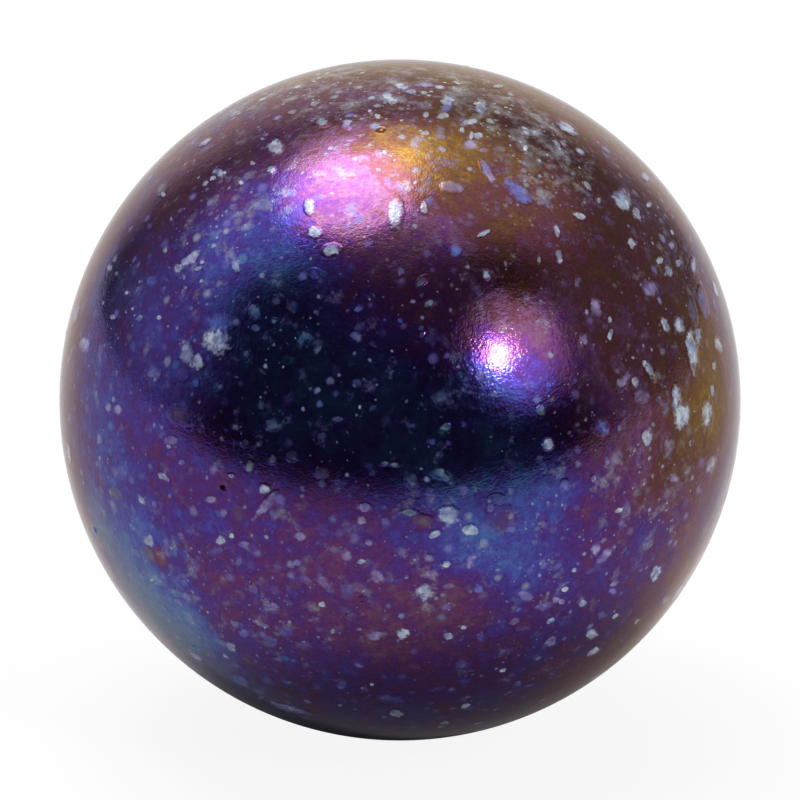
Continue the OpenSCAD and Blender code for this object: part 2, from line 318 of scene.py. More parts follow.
# %% Chips on the sides and the back
CHIP_TRIES = 110         # places for the larger chips
CHIP_EDGE = 0.3          # they stay this far from the middle of the best side, as a cosine
CHIP_SMALL = 0.3         # width of the smallest in mm
CHIP_SPAN = 0.45         # and how much wider the largest is
CHIP_COVER = 0.95
FINE_TRIES = 620         # the same for the smaller chips, which the solid leaves out
FINE_EDGE = 0.12
FINE_SMALL = 0.1
FINE_SPAN = 0.18
FINE_SHARE = 0.5         # share of the places that have one
PX_MM = BALL_R / MM / PHOTO_R      # one pixel of the photograph, in mm on the ball
SHARES = (("milk_white", 0.55), ("lilac", 0.75), ("cobalt", 0.88), ("sea_green", 0.95), ("amber_grey", 1.0))
Place = namedtuple("Place", "way long wide lean kind cover seen")      # half sizes in metres


def kind_of(roll):
    """The kind of glass for a value from 0 to 1."""
    return next(kind for kind, upto in SHARES if roll < upto)


places = []
for kind, (_, _, _, rows) in CHIPS.items():
    for x, y, w, h, lean, cover in rows:
        places.append(Place(best_dir(x, y), w * PX_MM * MM / 2, h * PX_MM * MM / 2, lean, kind, cover, 1.0))
for i in range(CHIP_TRIES):
    way = spread_dir(i, CHIP_TRIES)
    if way.dot(SEEN) < CHIP_EDGE:
        w = (CHIP_SMALL + CHIP_SPAN * chance(i, 2) ** 2) * MM
        long = w * (1 + chance(i, 4) ** 2) / 2
        places.append(Place(way, long, w / 2, 180 * chance(i, 5), kind_of(chance(i, 1)), CHIP_COVER, 0.0))
for i in range(FINE_TRIES):
    way = spread_dir(i, FINE_TRIES)
    if way.dot(SEEN) < FINE_EDGE and chance(i, 11) < FINE_SHARE:
        w = (FINE_SMALL + FINE_SPAN * chance(i, 12)) * MM
        long = w * (1 + chance(i, 14)) / 2
        cover = 0.5 + 0.5 * chance(i, 13)
        places.append(Place(way, long, w / 2, 180 * chance(i, 15), kind_of(chance(i, 16)), cover, 0.0))
print(len(places), "chips in all")

# %% [markdown]
# ## Melting the chips in with Geometry Nodes
#
# A chip could be painted on, but then it wouldn't stand out of the skin and catch the light. Each
# place becomes a point that carries its chip's size, turn and colours. The tree puts a thin
# round lens on every point, makes them real mesh, and moves each lens point to the ball: its rim
# dips just under the skin and its middle stands out with no crease. The ball then joins in, so
# that the marble stays one piece.

# %% Points for the chips, and how each chip is turned
chip_points = bpy.data.meshes.new("chip_places")
chip_points.from_pydata([p.way * BALL_R for p in places], [], [])


def carry(name, kind, values, field="value"):
    """Stores one value for each point."""
    layer = chip_points.attributes.new(name, kind, "POINT")
    layer.data.foreach_set(field, np.array(values, dtype=np.float32).ravel())


def turn_of(place):
    """Euler turn that lays a lens on the ball, its long side leaning from level."""
    if place.seen:
        level = Matrix((Vector((1, 0, 0)), UP_SEEN, SEEN)).transposed()
    else:
        azimuth, polar = math.atan2(place.way.y, place.way.x), math.acos(place.way.z)
        across = Matrix.Rotation(azimuth, 3, "Z") @ Matrix.Rotation(polar, 3, "Y")
        level = across @ Matrix.Rotation(math.pi / 2, 3, "Z")
    return (level @ Matrix.Rotation(math.radians(place.lean), 3, "Z")).to_euler()


carry("chip_turn", "FLOAT_VECTOR", [list(turn_of(p)) for p in places], "vector")
print(len(chip_points.vertices), "points")

# %% What each point carries
CHIP_RISE = 0.03 * MM            # how far the solid's chips stand out
FLATTEST, TALLER = 0.12, 0.6     # a chip's share of that: the least, and the most that chance adds
MARGIN = 0.62                    # the chip's ragged edge runs at about this share of its lens
SOFT_WIDTH = 0.35 * MM           # a wide chip has a softer edge than a narrow one
LIFT = 0.0005 * MM               # the lens clears the ball's flat faces by this
LIFT_BY_SIZE = 0.0038 / MM       # and by more where its own faces are larger

carry("chip_size", "FLOAT_VECTOR", [[p.long / MARGIN, p.wide / MARGIN, 1.0] for p in places], "vector")
carry("chip_seen", "FLOAT", [p.seen for p in places])
carry("chip_cover", "FLOAT", [p.cover for p in places])
carry("chip_soft", "FLOAT", [CHIPS[p.kind][2] * (0.5 + min(0.9, p.wide / SOFT_WIDTH)) for p in places])
carry("chip_rise", "FLOAT",
      [CHIP_RISE * p.cover * (FLATTEST + TALLER * chance(i, 21) ** 2) for i, p in enumerate(places)])
carry("chip_lift", "FLOAT", [LIFT + LIFT_BY_SIZE * (max(p.long, p.wide) / MARGIN) ** 2 for p in places])
carry("chip_tint", "FLOAT_COLOR", [linear(CHIPS[p.kind][0]) for p in places], "color")
carry("chip_shade", "FLOAT_COLOR", [linear(CHIPS[p.kind][1]) for p in places], "color")
chip_places = bpy.data.objects.new("chip_places", chip_points)
bpy.context.collection.objects.link(chip_places)
print("each point carries:", [a.name for a in chip_points.attributes])

# %% [markdown]
# The lens starts as a coarse UV sphere, because there are hundreds of chips and each has to stay
# light. It is flattened, and its rings are moved out towards the rim, where the glass bends into
# the ball. Each lens point keeps how far out it lies and whether it is on the underside.

# %% The tree: sizes in, marble out
tree = bpy.data.node_groups.new("melt_chips_in", "GeometryNodeTree")
for name, kind, way_in in (
    ("Ball", "NodeSocketGeometry", "INPUT"), ("Places", "NodeSocketObject", "INPUT"),
    ("Ball radius", "NodeSocketFloat", "INPUT"), ("Rim depth", "NodeSocketFloat", "INPUT"),
    ("Glass", "NodeSocketMaterial", "INPUT"), ("Marble", "NodeSocketGeometry", "OUTPUT"),
):
    tree.interface.new_socket(name, in_out=way_in, socket_type=kind)
sizes = add(tree, "NodeGroupInput").outputs
places_in = add(tree, "GeometryNodeObjectInfo", {"Object": sizes["Places"]}, transform_space="ORIGINAL")
carried = {}
for name in ("chip_turn", "chip_size", "chip_seen", "chip_rim", "chip_under", "chip_rise", "chip_lift"):
    kind = "FLOAT_VECTOR" if name in ("chip_turn", "chip_size") else "FLOAT"
    reader = add(tree, "GeometryNodeInputNamedAttribute", {"Name": name}, data_type=kind)
    carried[name] = reader.outputs["Attribute"]
print("tree's sockets:", [item.name for item in tree.interface.items_tree])

# %% The tree: one lens, with its distance from the middle and its side kept
RINGS_OUT = 1.6          # 1 leaves the rings where they are, and more moves them to the rim
UNDER = -0.05            # lower than this on the sphere, of radius 1, is the underside
round_lens = add(tree, "GeometryNodeMeshUVSphere", {"Segments": 10, "Rings": 6, "Radius": 1.0})
lens_at = add(tree, "GeometryNodeInputPosition")
lens_xyz = add(tree, "ShaderNodeSeparateXYZ", [lens_at]).outputs
flat_at = add(tree, "ShaderNodeCombineXYZ", {"X": lens_xyz["X"], "Y": lens_xyz["Y"]})
out_from_middle = add(tree, VECTOR_MATH, [flat_at], operation="LENGTH").outputs["Value"]
inner = add(tree, MATH, [1.0, out_from_middle], operation="SUBTRACT")
inner_now = add(tree, MATH, [inner, RINGS_OUT], operation="POWER")
ring_now = add(tree, MATH, [1.0, inner_now], operation="SUBTRACT")
flat_way = add(tree, VECTOR_MATH, [flat_at], operation="NORMALIZE")
spread_at = add(tree, VECTOR_MATH, {0: flat_way, "Scale": ring_now}, operation="SCALE")
is_under = add(tree, MATH, [lens_xyz["Z"], UNDER], operation="LESS_THAN")
lens = round_lens.outputs["Mesh"]
for name, value in (("chip_rim", ring_now), ("chip_under", is_under)):
    lens = add(tree, "GeometryNodeStoreNamedAttribute", {"Geometry": lens, "Name": name, "Value": value})
flat_lens = add(tree, "GeometryNodeSetPosition", {"Geometry": lens, "Position": spread_at})
print(len(tree.nodes), "nodes")

# %% The tree: a lens on every place, each as its point says
turn = add(tree, "FunctionNodeEulerToRotation", [carried["chip_turn"]])
on_places = add(tree, "GeometryNodeInstanceOnPoints", {
    "Points": places_in.outputs["Geometry"], "Instance": flat_lens,
    "Rotation": turn, "Scale": carried["chip_size"],
})
real = add(tree, "GeometryNodeRealizeInstances", {"Geometry": on_places})
print(len(tree.nodes), "nodes")

# %% [markdown]
# The lenses are still flat discs that touch the ball. A chip read from the photograph is pushed
# back along the line of sight, so that it shows just as it was listed, and any other one goes
# straight towards the middle. Then each lens point gets its height over the skin. The square of
# a bowl is level at its rim, so the hump runs into the ball with no crease.

# %% The tree: lay the lenses on the ball
LEAST_ROOM = 1e-8        # in square metres, so that a lens point past the outline still has a root
at = add(tree, "GeometryNodeInputPosition")
depth = add(tree, VECTOR_MATH, [at, SEEN], operation="DOT_PRODUCT").outputs["Value"]
depth_way = add(tree, VECTOR_MATH, {0: tuple(SEEN), "Scale": depth}, operation="SCALE")
beside = add(tree, VECTOR_MATH, [at, depth_way], operation="SUBTRACT")
beside_2 = add(tree, VECTOR_MATH, [beside, beside], operation="DOT_PRODUCT").outputs["Value"]
radius_2 = add(tree, MATH, [sizes["Ball radius"], 2.0], operation="POWER")
room = add(tree, MATH, [radius_2, beside_2], operation="SUBTRACT")
room_kept = add(tree, MATH, [room, LEAST_ROOM], operation="MAXIMUM")
forward = add(tree, MATH, [room_kept], operation="SQRT")
forward_way = add(tree, VECTOR_MATH, {0: tuple(SEEN), "Scale": forward}, operation="SCALE")
as_seen_at = add(tree, VECTOR_MATH, [beside, forward_way], operation="ADD")
chosen = add(tree, MIX, {"Factor": carried["chip_seen"], VECTOR_A: at, VECTOR_B: as_seen_at},
             data_type="VECTOR").outputs[MIXED_VECTOR]
outward = add(tree, VECTOR_MATH, [chosen], operation="NORMALIZE")
print(len(tree.nodes), "nodes")

# %% The tree: how high each point of a lens stands
BELLY = -0.05 * MM       # the underside hangs this far into the glass
AT_RIM = 0.98            # lens points past this share of its radius dip under the skin
rim_now = carried["chip_rim"]
rim_2 = add(tree, MATH, [rim_now, rim_now], operation="MULTIPLY")
bowl = add(tree, MATH, [1.0, rim_2], operation="SUBTRACT")
hump = add(tree, MATH, [bowl, bowl], operation="MULTIPLY")
rise = add(tree, MATH, [hump, carried["chip_rise"]], operation="MULTIPLY")
belly = add(tree, MATH, [bowl, BELLY], operation="MULTIPLY")
relief = add(tree, MIX, {"Factor": carried["chip_under"], VALUE_A: rise, VALUE_B: belly})
at_rim = add(tree, MATH, [rim_now, AT_RIM], operation="GREATER_THAN")
rim_down = add(tree, MATH, [sizes["Rim depth"], -1.0], operation="MULTIPLY")
lift = add(tree, MIX, {"Factor": at_rim, VALUE_A: carried["chip_lift"], VALUE_B: rim_down})
lifted = add(tree, MATH, [relief, lift], operation="ADD")
height = add(tree, MATH, [lifted, sizes["Ball radius"]], operation="ADD")
on_ball = add(tree, VECTOR_MATH, {0: outward, "Scale": height}, operation="SCALE")
melted = add(tree, "GeometryNodeSetPosition", {"Geometry": real, "Position": on_ball})
print(len(tree.nodes), "nodes")

# %% [markdown]
# The top of a lens is shaded smooth. Its outermost faces and its underside stay flat shaded, as
# normals that bend down over the rim would draw a bright ring round each chip.

# %% The tree: join the ball and finish
TOP_BELOW = 0.2          # an underside face has more than this of the underside's mark
SMOOTH_UPTO = 0.9        # the outermost faces start at this share of the lens
joined = add(tree, "GeometryNodeJoinGeometry", [melted])
tree.links.new(sizes["Ball"], joined.inputs[0])
on_top = add(tree, MATH, [carried["chip_under"], TOP_BELOW], operation="LESS_THAN")
off_rim = add(tree, MATH, [rim_now, SMOOTH_UPTO], operation="LESS_THAN")
seen_smooth = add(tree, MATH, [on_top, off_rim], operation="MULTIPLY")
smooth = add(tree, "GeometryNodeSetShadeSmooth", {"Geometry": joined, "Selection": seen_smooth})
whole = add(tree, "GeometryNodeRealizeInstances", {"Geometry": smooth})
glazed = add(tree, "GeometryNodeSetMaterial", {"Geometry": whole, "Material": sizes["Glass"]})
add(tree, "NodeGroupOutput", {"Marble": glazed})
print("tree of", len(tree.nodes), "nodes")

# %% Run the tree and keep its mesh
glass = bpy.data.materials.new("fumed_speckled_glass")
melt = marble.modifiers.new("melt_chips_in", "NODES")
melt.node_group = tree
values = {"Places": chip_places, "Ball radius": BALL_R, "Rim depth": 0.0008 * MM, "Glass": glass}
for item in tree.interface.items_tree:
    if item.in_out == "INPUT" and item.name in values:
        melt[item.identifier] = values[item.name]
bpy.context.view_layer.update()
made = bpy.data.meshes.new_from_object(marble.evaluated_get(bpy.context.evaluated_depsgraph_get()))
made.name = "marble_skin"
marble.modifiers.clear()
marble.data = made
bpy.data.objects.remove(chip_places)
print("marble:", len(made.vertices), "points,", sum(len(p.vertices) - 2 for p in made.polygons), "triangles")

# %% [markdown]
# ## Where the film is thick
#
# The colour of the film follows its thickness, so the marble needs a map of thickness and not
# of colour. Each row below is a soft cloud: its place, its spread in mm and its thickness from 0
# (gold) to 1 (teal). A point takes the mean of the clouds, each weighted by how near it is. The
# rule fills the side that isn't seen. A second list does the same for how dense the fine dust is.

# %% Clouds of film and dust
FILM_CLOUDS = [
    (432, 156, 1.6, 0.01), (490, 160, 1.8, 0.14), (396, 150, 1.0, 0.13), (405, 182, 0.9, 0.24),
    (560, 150, 2.4, 0.28), (620, 250, 3.4, 0.28), (600, 110, 1.6, 0.31), (650, 180, 1.8, 0.33),
    (500, 215, 1.4, 0.26), (470, 110, 1.6, 0.24), (650, 330, 2.4, 0.31), (705, 400, 2.0, 0.04),
    (700, 330, 1.2, 0.12), (660, 460, 1.8, 0.3), (690, 500, 1.6, 0.5), (540, 270, 2.4, 0.33),
    (400, 90, 1.8, 0.36), (350, 180, 1.6, 0.4), (360, 220, 1.0, 0.38), (306, 165, 1.0, 0.46),
    (326, 206, 0.9, 0.42), (275, 195, 1.2, 0.6), (262, 225, 1.2, 0.74), (400, 250, 1.6, 0.46),
    (560, 330, 1.4, 0.5), (72, 300, 1.6, 0.5), (66, 400, 1.5, 0.62), (95, 225, 1.8, 0.38),
    (150, 150, 1.8, 0.38), (240, 235, 2.2, 0.8), (175, 250, 1.6, 0.7), (205, 300, 1.4, 0.7),
    (250, 160, 2.0, 0.5), (200, 190, 2.2, 0.42), (320, 110, 2.0, 0.42), (140, 320, 2.6, 0.72),
    (150, 390, 1.8, 0.64), (130, 435, 2.0, 0.76), (110, 470, 1.6, 0.72), (135, 560, 2.0, 0.97),
    (180, 630, 1.8, 1.0), (180, 480, 2.0, 0.6), (240, 540, 2.6, 0.6), (280, 610, 2.6, 0.55),
    (320, 540, 2.4, 0.58), (380, 530, 1.8, 0.6), (440, 520, 1.6, 0.83), (520, 505, 2.2, 0.97),
    (540, 570, 1.4, 0.74), (360, 600, 2.0, 0.53), (430, 620, 2.0, 0.45), (395, 640, 1.6, 0.45),
    (480, 620, 1.6, 0.62), (480, 480, 2.4, 0.8), (590, 500, 2.4, 0.5), (620, 560, 2.4, 0.61),
    (600, 600, 1.8, 0.7), (560, 630, 2.2, 0.6), (300, 680, 2.4, 0.66), (420, 690, 3.0, 0.66),
    (240, 690, 1.6, 0.94), (525, 330, 1.2, 0.47), (492, 350, 0.6, 0.62), (515, 385, 1.4, 0.66),
    (560, 385, 1.4, 0.66), (405, 305, 2.0, 0.5), (340, 380, 3.0, 0.84), (480, 420, 2.0, 0.82),
    (600, 400, 2.2, 0.46), (640, 600, 2.0, 0.5), (655, 480, 0.5, 0.12), (640, 496, 0.4, 0.16),
    (676, 470, 0.6, 0.1), (500, 516, 0.5, 0.18), (484, 500, 0.35, 0.2), (523, 568, 0.7, 0.9),
    (497, 440, 0.8, 0.96), (545, 475, 0.9, 0.9), (424, 520, 0.35, 0.16), (160, 555, 0.4, 0.2),
]
DUST_CLOUDS = [
    (470, 92, 1.5, 0.8), (510, 120, 1.5, 0.95), (545, 160, 1.4, 0.8), (420, 85, 1.5, 0.7),
    (545, 195, 0.9, 0.4), (330, 85, 1.6, 0.7), (250, 105, 1.6, 0.6), (640, 200, 1.6, 0.4),
    (660, 250, 1.6, 0.4), (440, 120, 1.2, 0.4), (485, 160, 1.0, 0.15), (280, 155, 1.2, 0.3),
    (230, 130, 1.6, 0.3), (650, 300, 1.6, 0.25), (400, 240, 2.0, 0.2), (600, 270, 2.4, 0.12),
    (130, 300, 2.0, 0.15), (200, 250, 1.4, 0.55), (245, 215, 1.3, 0.45), (290, 330, 1.6, 0.4),
    (300, 330, 3.0, 0.05), (450, 400, 3.0, 0.06), (430, 340, 1.6, 0.22), (600, 380, 2.0, 0.25),
    (260, 600, 2.4, 0.35), (500, 600, 3.0, 0.25), (350, 560, 2.0, 0.25), (400, 700, 3.0, 0.08),
    (200, 450, 3.0, 0.15), (655, 480, 1.8, 0.45),
]
print(len(FILM_CLOUDS), "clouds of film and", len(DUST_CLOUDS), "of dust by eye")

# %% Clouds on the side that isn't seen
RULE_CLOUDS = 40
RULE_SPREAD = 4.5
for i in range(RULE_CLOUDS):
    way = spread_dir(i, RULE_CLOUDS)
    if way.dot(SEEN) < 0.0:
        FILM_CLOUDS.append((way, RULE_SPREAD, 0.08 + 0.84 * chance(i, 6)))
        DUST_CLOUDS.append((way, RULE_SPREAD, 0.6 * chance(i, 7) ** 2))
print(len(FILM_CLOUDS), "clouds of film and", len(DUST_CLOUDS), "of dust in all")

# %% Blend the clouds into the mesh
FAR_PULL = 1e-4          # each cloud still counts a little far away, so that no point is without one


def blend_clouds(points, clouds):
    """Mean of the clouds at each point, weighted by nearness over the ball."""
    ways = points / np.linalg.norm(points, axis=1)[:, None]
    total, weight = np.zeros(len(points)), np.full(len(points), 1e-9)
    for *place, spread, value in clouds:
        centre = np.array(place[0] if len(place) == 1 else best_dir(*place))
        away = np.linalg.norm(ways - centre, axis=1) * BALL_R / (spread * MM)
        near = np.exp(-away ** 2) + FAR_PULL / (1 + away ** 4)
        total += near * value
        weight += near
    return total / weight


points = np.empty(len(made.vertices) * 3)
made.vertices.foreach_get("co", points)
points = points.reshape(-1, 3)
for name, clouds in (("film_depth", FILM_CLOUDS), ("dust_density", DUST_CLOUDS)):
    layer = made.attributes.new(name, "FLOAT", "POINT")
    field = blend_clouds(points, clouds)
    layer.data.foreach_set("value", field.astype(np.float32))
    print(name, "from", round(field.min(), 2), "to", round(field.max(), 2))

# %% [markdown]
# ## The glass
#
# Fumed soda-lime glass, fire-polished: the flame leaves a glossy skin with a faint orange peel. The
# film mirrors like a thin metal, so the skin is metallic, and its base colour is what the film
# sends straight back. At a low angle any such skin turns pale, which gives the marble
# its light rim. Chips and dust are plain glass and not mirrors: they show their own colour.

# %% Start the glass, with the values that the mesh carries
glass.use_nodes = True
skin = glass.node_tree
skin.nodes.clear()
place = add(skin, "ShaderNodeTexCoord").outputs["Object"]
painted = {}
for name in ("film_depth", "dust_density", "chip_rim", "chip_soft", "chip_cover", "chip_tint", "chip_shade"):
    painted[name] = add(skin, "ShaderNodeAttribute", attribute_name=name).outputs
film_depth = painted["film_depth"]["Fac"]
dust_density = painted["dust_density"]["Fac"]


def per_mm(size):
    """Texture scale for a pattern of this size in mm."""
    return 1 / (size * MM)


print("glass reads:", list(painted))

# %% [markdown]
# The film isn't even inside its clouds. The roll drags it into swirls of 2 to 3 mm, and flame and
# powder leave patches and grain below 1 mm. Three noises of these sizes push the thickness up
# and down about its mean.

# %% Film thickness: the clouds and the swirl of the roll
SWIRL, GRAIN, PATCHY = 0.4, 0.35, 0.35         # how far each noise moves the thickness, from end to end
swirl = add(skin, NOISE, {"Vector": place, "Scale": per_mm(2.6), "Detail": 4.0, "Roughness": 0.62})
grain = add(skin, NOISE, {"Vector": place, "Scale": per_mm(0.35), "Detail": 4.0, "Roughness": 0.7})
patches = add(skin, NOISE, {"Vector": place, "Scale": per_mm(0.9), "Detail": 2.0})
level = film_depth
for noise, push in ((swirl, SWIRL), (grain, GRAIN), (patches, PATCHY)):
    level = add(skin, MATH, [noise, push, level], operation="MULTIPLY_ADD")
level = add(skin, MATH, [level, (SWIRL + GRAIN + PATCHY) / 2], operation="SUBTRACT")
print("thickness moved by up to", (SWIRL + GRAIN + PATCHY) / 2, "either way")

# %% [markdown]
# A grain of powder under the film shows as a round spot: the film is thicker on top of it, and
# thinner in a ring round it. One cell of a Voronoi pattern holds each spot. A curve gives the
# thickness across it: 0.5 leaves the film alone, more thickens it and less thins it.

# %% Film thickness: small spots
RAGGED = 0.00009         # how far the grain pulls a spot out of round, in metres
SPOT_CURVE = ((0.62, 0.95), (0.8, 0.5), (0.9, 0.3))
ragged = add(skin, MIX, {"Factor": RAGGED, VECTOR_A: place, VECTOR_B: grain.outputs["Color"]},
             data_type="VECTOR").outputs[MIXED_VECTOR]
spots = add(skin, "ShaderNodeTexVoronoi", {"Vector": ragged, "Scale": per_mm(0.8), "Randomness": 1.0})
spot_roll = add(skin, "ShaderNodeSeparateColor", [spots.outputs["Color"]]).outputs
spot_size = add(skin, MATH, [spot_roll["Red"], 0.34, 0.04], operation="MULTIPLY_ADD")
spot_out = add(skin, MATH, [spots.outputs["Distance"], spot_size], operation="DIVIDE", use_clamp=True)
spot_shape = add(skin, "ShaderNodeFloatCurve", {"Value": spot_out})
curve = spot_shape.mapping.curves[0]
curve.points[0].location = (0.0, 1.0)
curve.points[1].location = (1.0, 0.5)
for x, y in SPOT_CURVE:
    curve.points.new(x, y)
spot_shape.mapping.update()
spot_push = add(skin, MATH, [spot_shape, 0.5], operation="SUBTRACT")
SPOT_LEAST, SPOT_MOST = 0.15, 0.36       # how far a spot may push the thickness of thin and thick film
spot_limit = add(skin, RANGE, [film_depth, 0.3, 0.6, SPOT_LEAST, SPOT_MOST])
spot_force = add(skin, MATH, [spot_roll["Green"], spot_limit], operation="MULTIPLY")
film_now = add(skin, MATH, [spot_push, spot_force, level], operation="MULTIPLY_ADD")
print(len(curve.points), "points on the curve of a spot")

# %% Film colours, from thin to thick
FILM_COLOURS = [
    (0.00, "#76591c"), (0.13, "#63421f"), (0.26, "#552f2a"), (0.35, "#582c3a"), (0.42, "#633e58"),
    (0.50, "#5a2c58"), (0.60, "#4c2666"), (0.70, "#432e7c"), (0.80, "#41418e"), (0.90, "#415a98"),
    (1.00, "#4a6f98"),
]
film = add(skin, "ShaderNodeValToRGB", {"Fac": film_now})
ramp = film.color_ramp.elements
while len(ramp) < len(FILM_COLOURS):
    ramp.new(0.5)
for stop, (where, hex_colour) in zip(ramp, FILM_COLOURS):
    stop.position = where
    stop.color = linear(hex_colour)
print("film of", len(FILM_COLOURS), "colours")

# %% [markdown]
# Dust is crushed glass too fine for the list of chips: thousands of specks, dense at the top
# right and rare in the middle. Meshes would be far too heavy, so cells of three sizes hold at
# most one soft speck each, and the dust clouds say what share of the cells has one. Fine blue
# powder shows in the same way where the film is violet.

# %% Dust: one layer of soft specks
FRAY = 0.0001            # how far a speck is pulled out of round, in metres
fray = add(skin, NOISE, {"Vector": place, "Scale": per_mm(0.16), "Detail": 1.0})
frayed = add(skin, MIX, {"Factor": FRAY, VECTOR_A: place, VECTOR_B: fray.outputs["Color"]},
             data_type="VECTOR").outputs[MIXED_VECTOR]
brightest = add(skin, RANGE, [dust_density, 0.1, 0.7, 0.6, 1.1])


def specks(cell_mm, share, smallest, largest):
    """Soft specks, at most one in each cell; gives how far they cover and a chance for their tone."""
    cells = add(skin, "ShaderNodeTexVoronoi", {"Vector": frayed, "Scale": per_mm(cell_mm)})
    roll = add(skin, "ShaderNodeSeparateColor", [cells.outputs["Color"]]).outputs
    there = add(skin, MATH, [roll["Red"], share], operation="LESS_THAN")
    size = add(skin, RANGE, [roll["Green"], 0.0, 1.0, smallest, largest])
    out = add(skin, MATH, [cells.outputs["Distance"], size], operation="DIVIDE")
    soft_edge = add(skin, RANGE, [out, 1.0, 0.3], interpolation_type="SMOOTHSTEP")
    squared = add(skin, MATH, [roll["Blue"], 2.0], operation="POWER")
    strength = add(skin, MATH, [squared, brightest, 0.1], operation="MULTIPLY_ADD", use_clamp=True)
    lit_speck = add(skin, MATH, [soft_edge, strength], operation="MULTIPLY")
    return add(skin, MATH, [lit_speck, there], operation="MULTIPLY"), roll["Green"]


print(len(skin.nodes), "nodes")

# %% Dust: three sizes of specks, a haze and the blue powder
SIZES = (               # cell in mm, share of cells where dust is thinnest and densest, speck sizes in cells
    (0.5, 0.05, 1.0, 0.2, 0.55),
    (0.27, 0.06, 0.9, 0.16, 0.48),
    (0.14, 0.025, 0.35, 0.25, 0.5),
)
dust_layers = []
for cell, fewest, most, smallest, largest in SIZES:
    share = add(skin, RANGE, [dust_density, 0.0, 1.0, fewest, most])
    dust_layers.append(specks(cell, share, smallest, largest))
large_tone, small_tone = dust_layers[0][1], dust_layers[1][1]
veil = add(skin, NOISE, {"Vector": place, "Scale": per_mm(0.8), "Detail": 5.0, "Roughness": 0.7})
veil_limit = add(skin, RANGE, [dust_density, 0.0, 1.0, 0.6, 0.42])
veil_over = add(skin, MATH, [veil, veil_limit], operation="SUBTRACT")
haze = add(skin, RANGE, [veil_over, 0.0, 0.25, 0.0, 0.7])
dust = haze
for layer, _ in dust_layers:
    dust = add(skin, MATH, [dust, layer], operation="MAXIMUM")
powder_from = add(skin, RANGE, [film_depth, 0.45, 0.6, 0.1, 1.0])
powder_upto = add(skin, RANGE, [film_depth, 0.64, 0.78, 0.55, 0.15])
powder_share = add(skin, MATH, [powder_from, powder_upto], operation="MULTIPLY")
powder, powder_tone = specks(0.58, powder_share, 0.2, 0.5)
print(len(dust_layers), "sizes of dust")

# %% Dust: its colours drift from pale to blue, more so where dust is rare
drift = add(skin, NOISE, {"Vector": place, "Scale": per_mm(1.1), "Detail": 2.0})
tone_roll = add(skin, MATH, [large_tone, 0.5, drift], operation="MULTIPLY_ADD")
blue_by_dust = add(skin, RANGE, [dust_density, 0.15, 0.6, 1.0, 0.15])
blue_by_film = add(skin, RANGE, [film_depth, 0.62, 0.72, 1.0, 0.3])
blue_share = add(skin, MATH, [blue_by_dust, blue_by_film], operation="MULTIPLY")
drift_blue = add(skin, RANGE, [tone_roll, 0.55, 0.85])
blue_now = add(skin, MATH, [drift_blue, blue_share], operation="MULTIPLY")
lilac_now = add(skin, MATH, [small_tone, blue_share], operation="MULTIPLY")
pale_dust = add(skin, MIX, {"Factor": lilac_now, COLOUR_A: linear("#9da7a2"), COLOUR_B: linear("#8f8fac")},
                data_type="RGBA").outputs[MIXED_COLOUR]
powder_mix = add(skin, MIX, {"Factor": powder_tone, COLOUR_A: linear("#3f4f9c"), COLOUR_B: linear("#7468ac")},
                 data_type="RGBA").outputs[MIXED_COLOUR]
dust_tone = add(skin, MIX, {"Factor": blue_now, COLOUR_A: pale_dust, COLOUR_B: linear("#4a5ba2")},
                data_type="RGBA").outputs[MIXED_COLOUR]
print(len(skin.nodes), "nodes")

# %% [markdown]
# A real chip is a splinter with a broken edge, and its glass is cloudy. The lens under it is
# round, so the splinter's outline is drawn inside the lens: a fine noise makes the edge ragged
# and a coarse one gives it lobes. Outside that edge the lens has the colours of the film.

# %% Chips: a ragged edge that is soft, and a cloudy inside
RAGGED_EDGE, LOBED_EDGE = 1.4, 0.9       # how far each noise moves the edge, in shares of the lens
splinter = add(skin, NOISE, {"Vector": place, "Scale": per_mm(0.24), "Detail": 4.0, "Roughness": 0.66})
lobes = add(skin, NOISE, {"Vector": place, "Scale": per_mm(0.6), "Detail": 1.0})
edge_middle = MARGIN - (RAGGED_EDGE + LOBED_EDGE) / 2
edge_at = add(skin, MATH, [splinter, RAGGED_EDGE, edge_middle], operation="MULTIPLY_ADD")
lobed_at = add(skin, MATH, [lobes, LOBED_EDGE, edge_at], operation="MULTIPLY_ADD")
rim = painted["chip_rim"]["Fac"]
inside = add(skin, MATH, [lobed_at, rim], operation="SUBTRACT")
inside_soft = add(skin, MATH, [inside, painted["chip_soft"]["Fac"]], operation="DIVIDE")
shown = add(skin, RANGE, [inside_soft, -0.5, 0.5], interpolation_type="SMOOTHSTEP")
rim_fade = add(skin, RANGE, [rim, 1.0, 0.9], interpolation_type="SMOOTHSTEP")
shown_in = add(skin, MATH, [shown, rim_fade], operation="MULTIPLY")
clouded = add(skin, NOISE, {"Vector": place, "Scale": per_mm(0.4), "Detail": 2.0})
cloudy = add(skin, RANGE, [clouded, 0.38, 0.6, 0.5, 0.95])
covered = add(skin, MATH, [shown_in, cloudy], operation="MULTIPLY")
chip = add(skin, MATH, [covered, painted["chip_cover"]["Fac"]], operation="MULTIPLY")
print(len(skin.nodes), "nodes")

# %% Chips: two shades
shade_noise = add(skin, NOISE, {"Vector": place, "Scale": per_mm(0.5), "Detail": 2.0})
shade_mix = add(skin, RANGE, [shade_noise, 0.42, 0.64])
chip_tone = add(skin, MIX, {
    "Factor": shade_mix, COLOUR_A: painted["chip_tint"]["Color"], COLOUR_B: painted["chip_shade"]["Color"],
}, data_type="RGBA").outputs[MIXED_COLOUR]
print(len(CHIPS), "pairs of shades")

# %% [markdown]
# Fire-polished glass is never quite even. Long low waves bend the reflections, and a fine orange
# peel breaks up the small lamp's into glints. Both are finer than a mesh could carry, so they are
# bump, with their heights in metres.

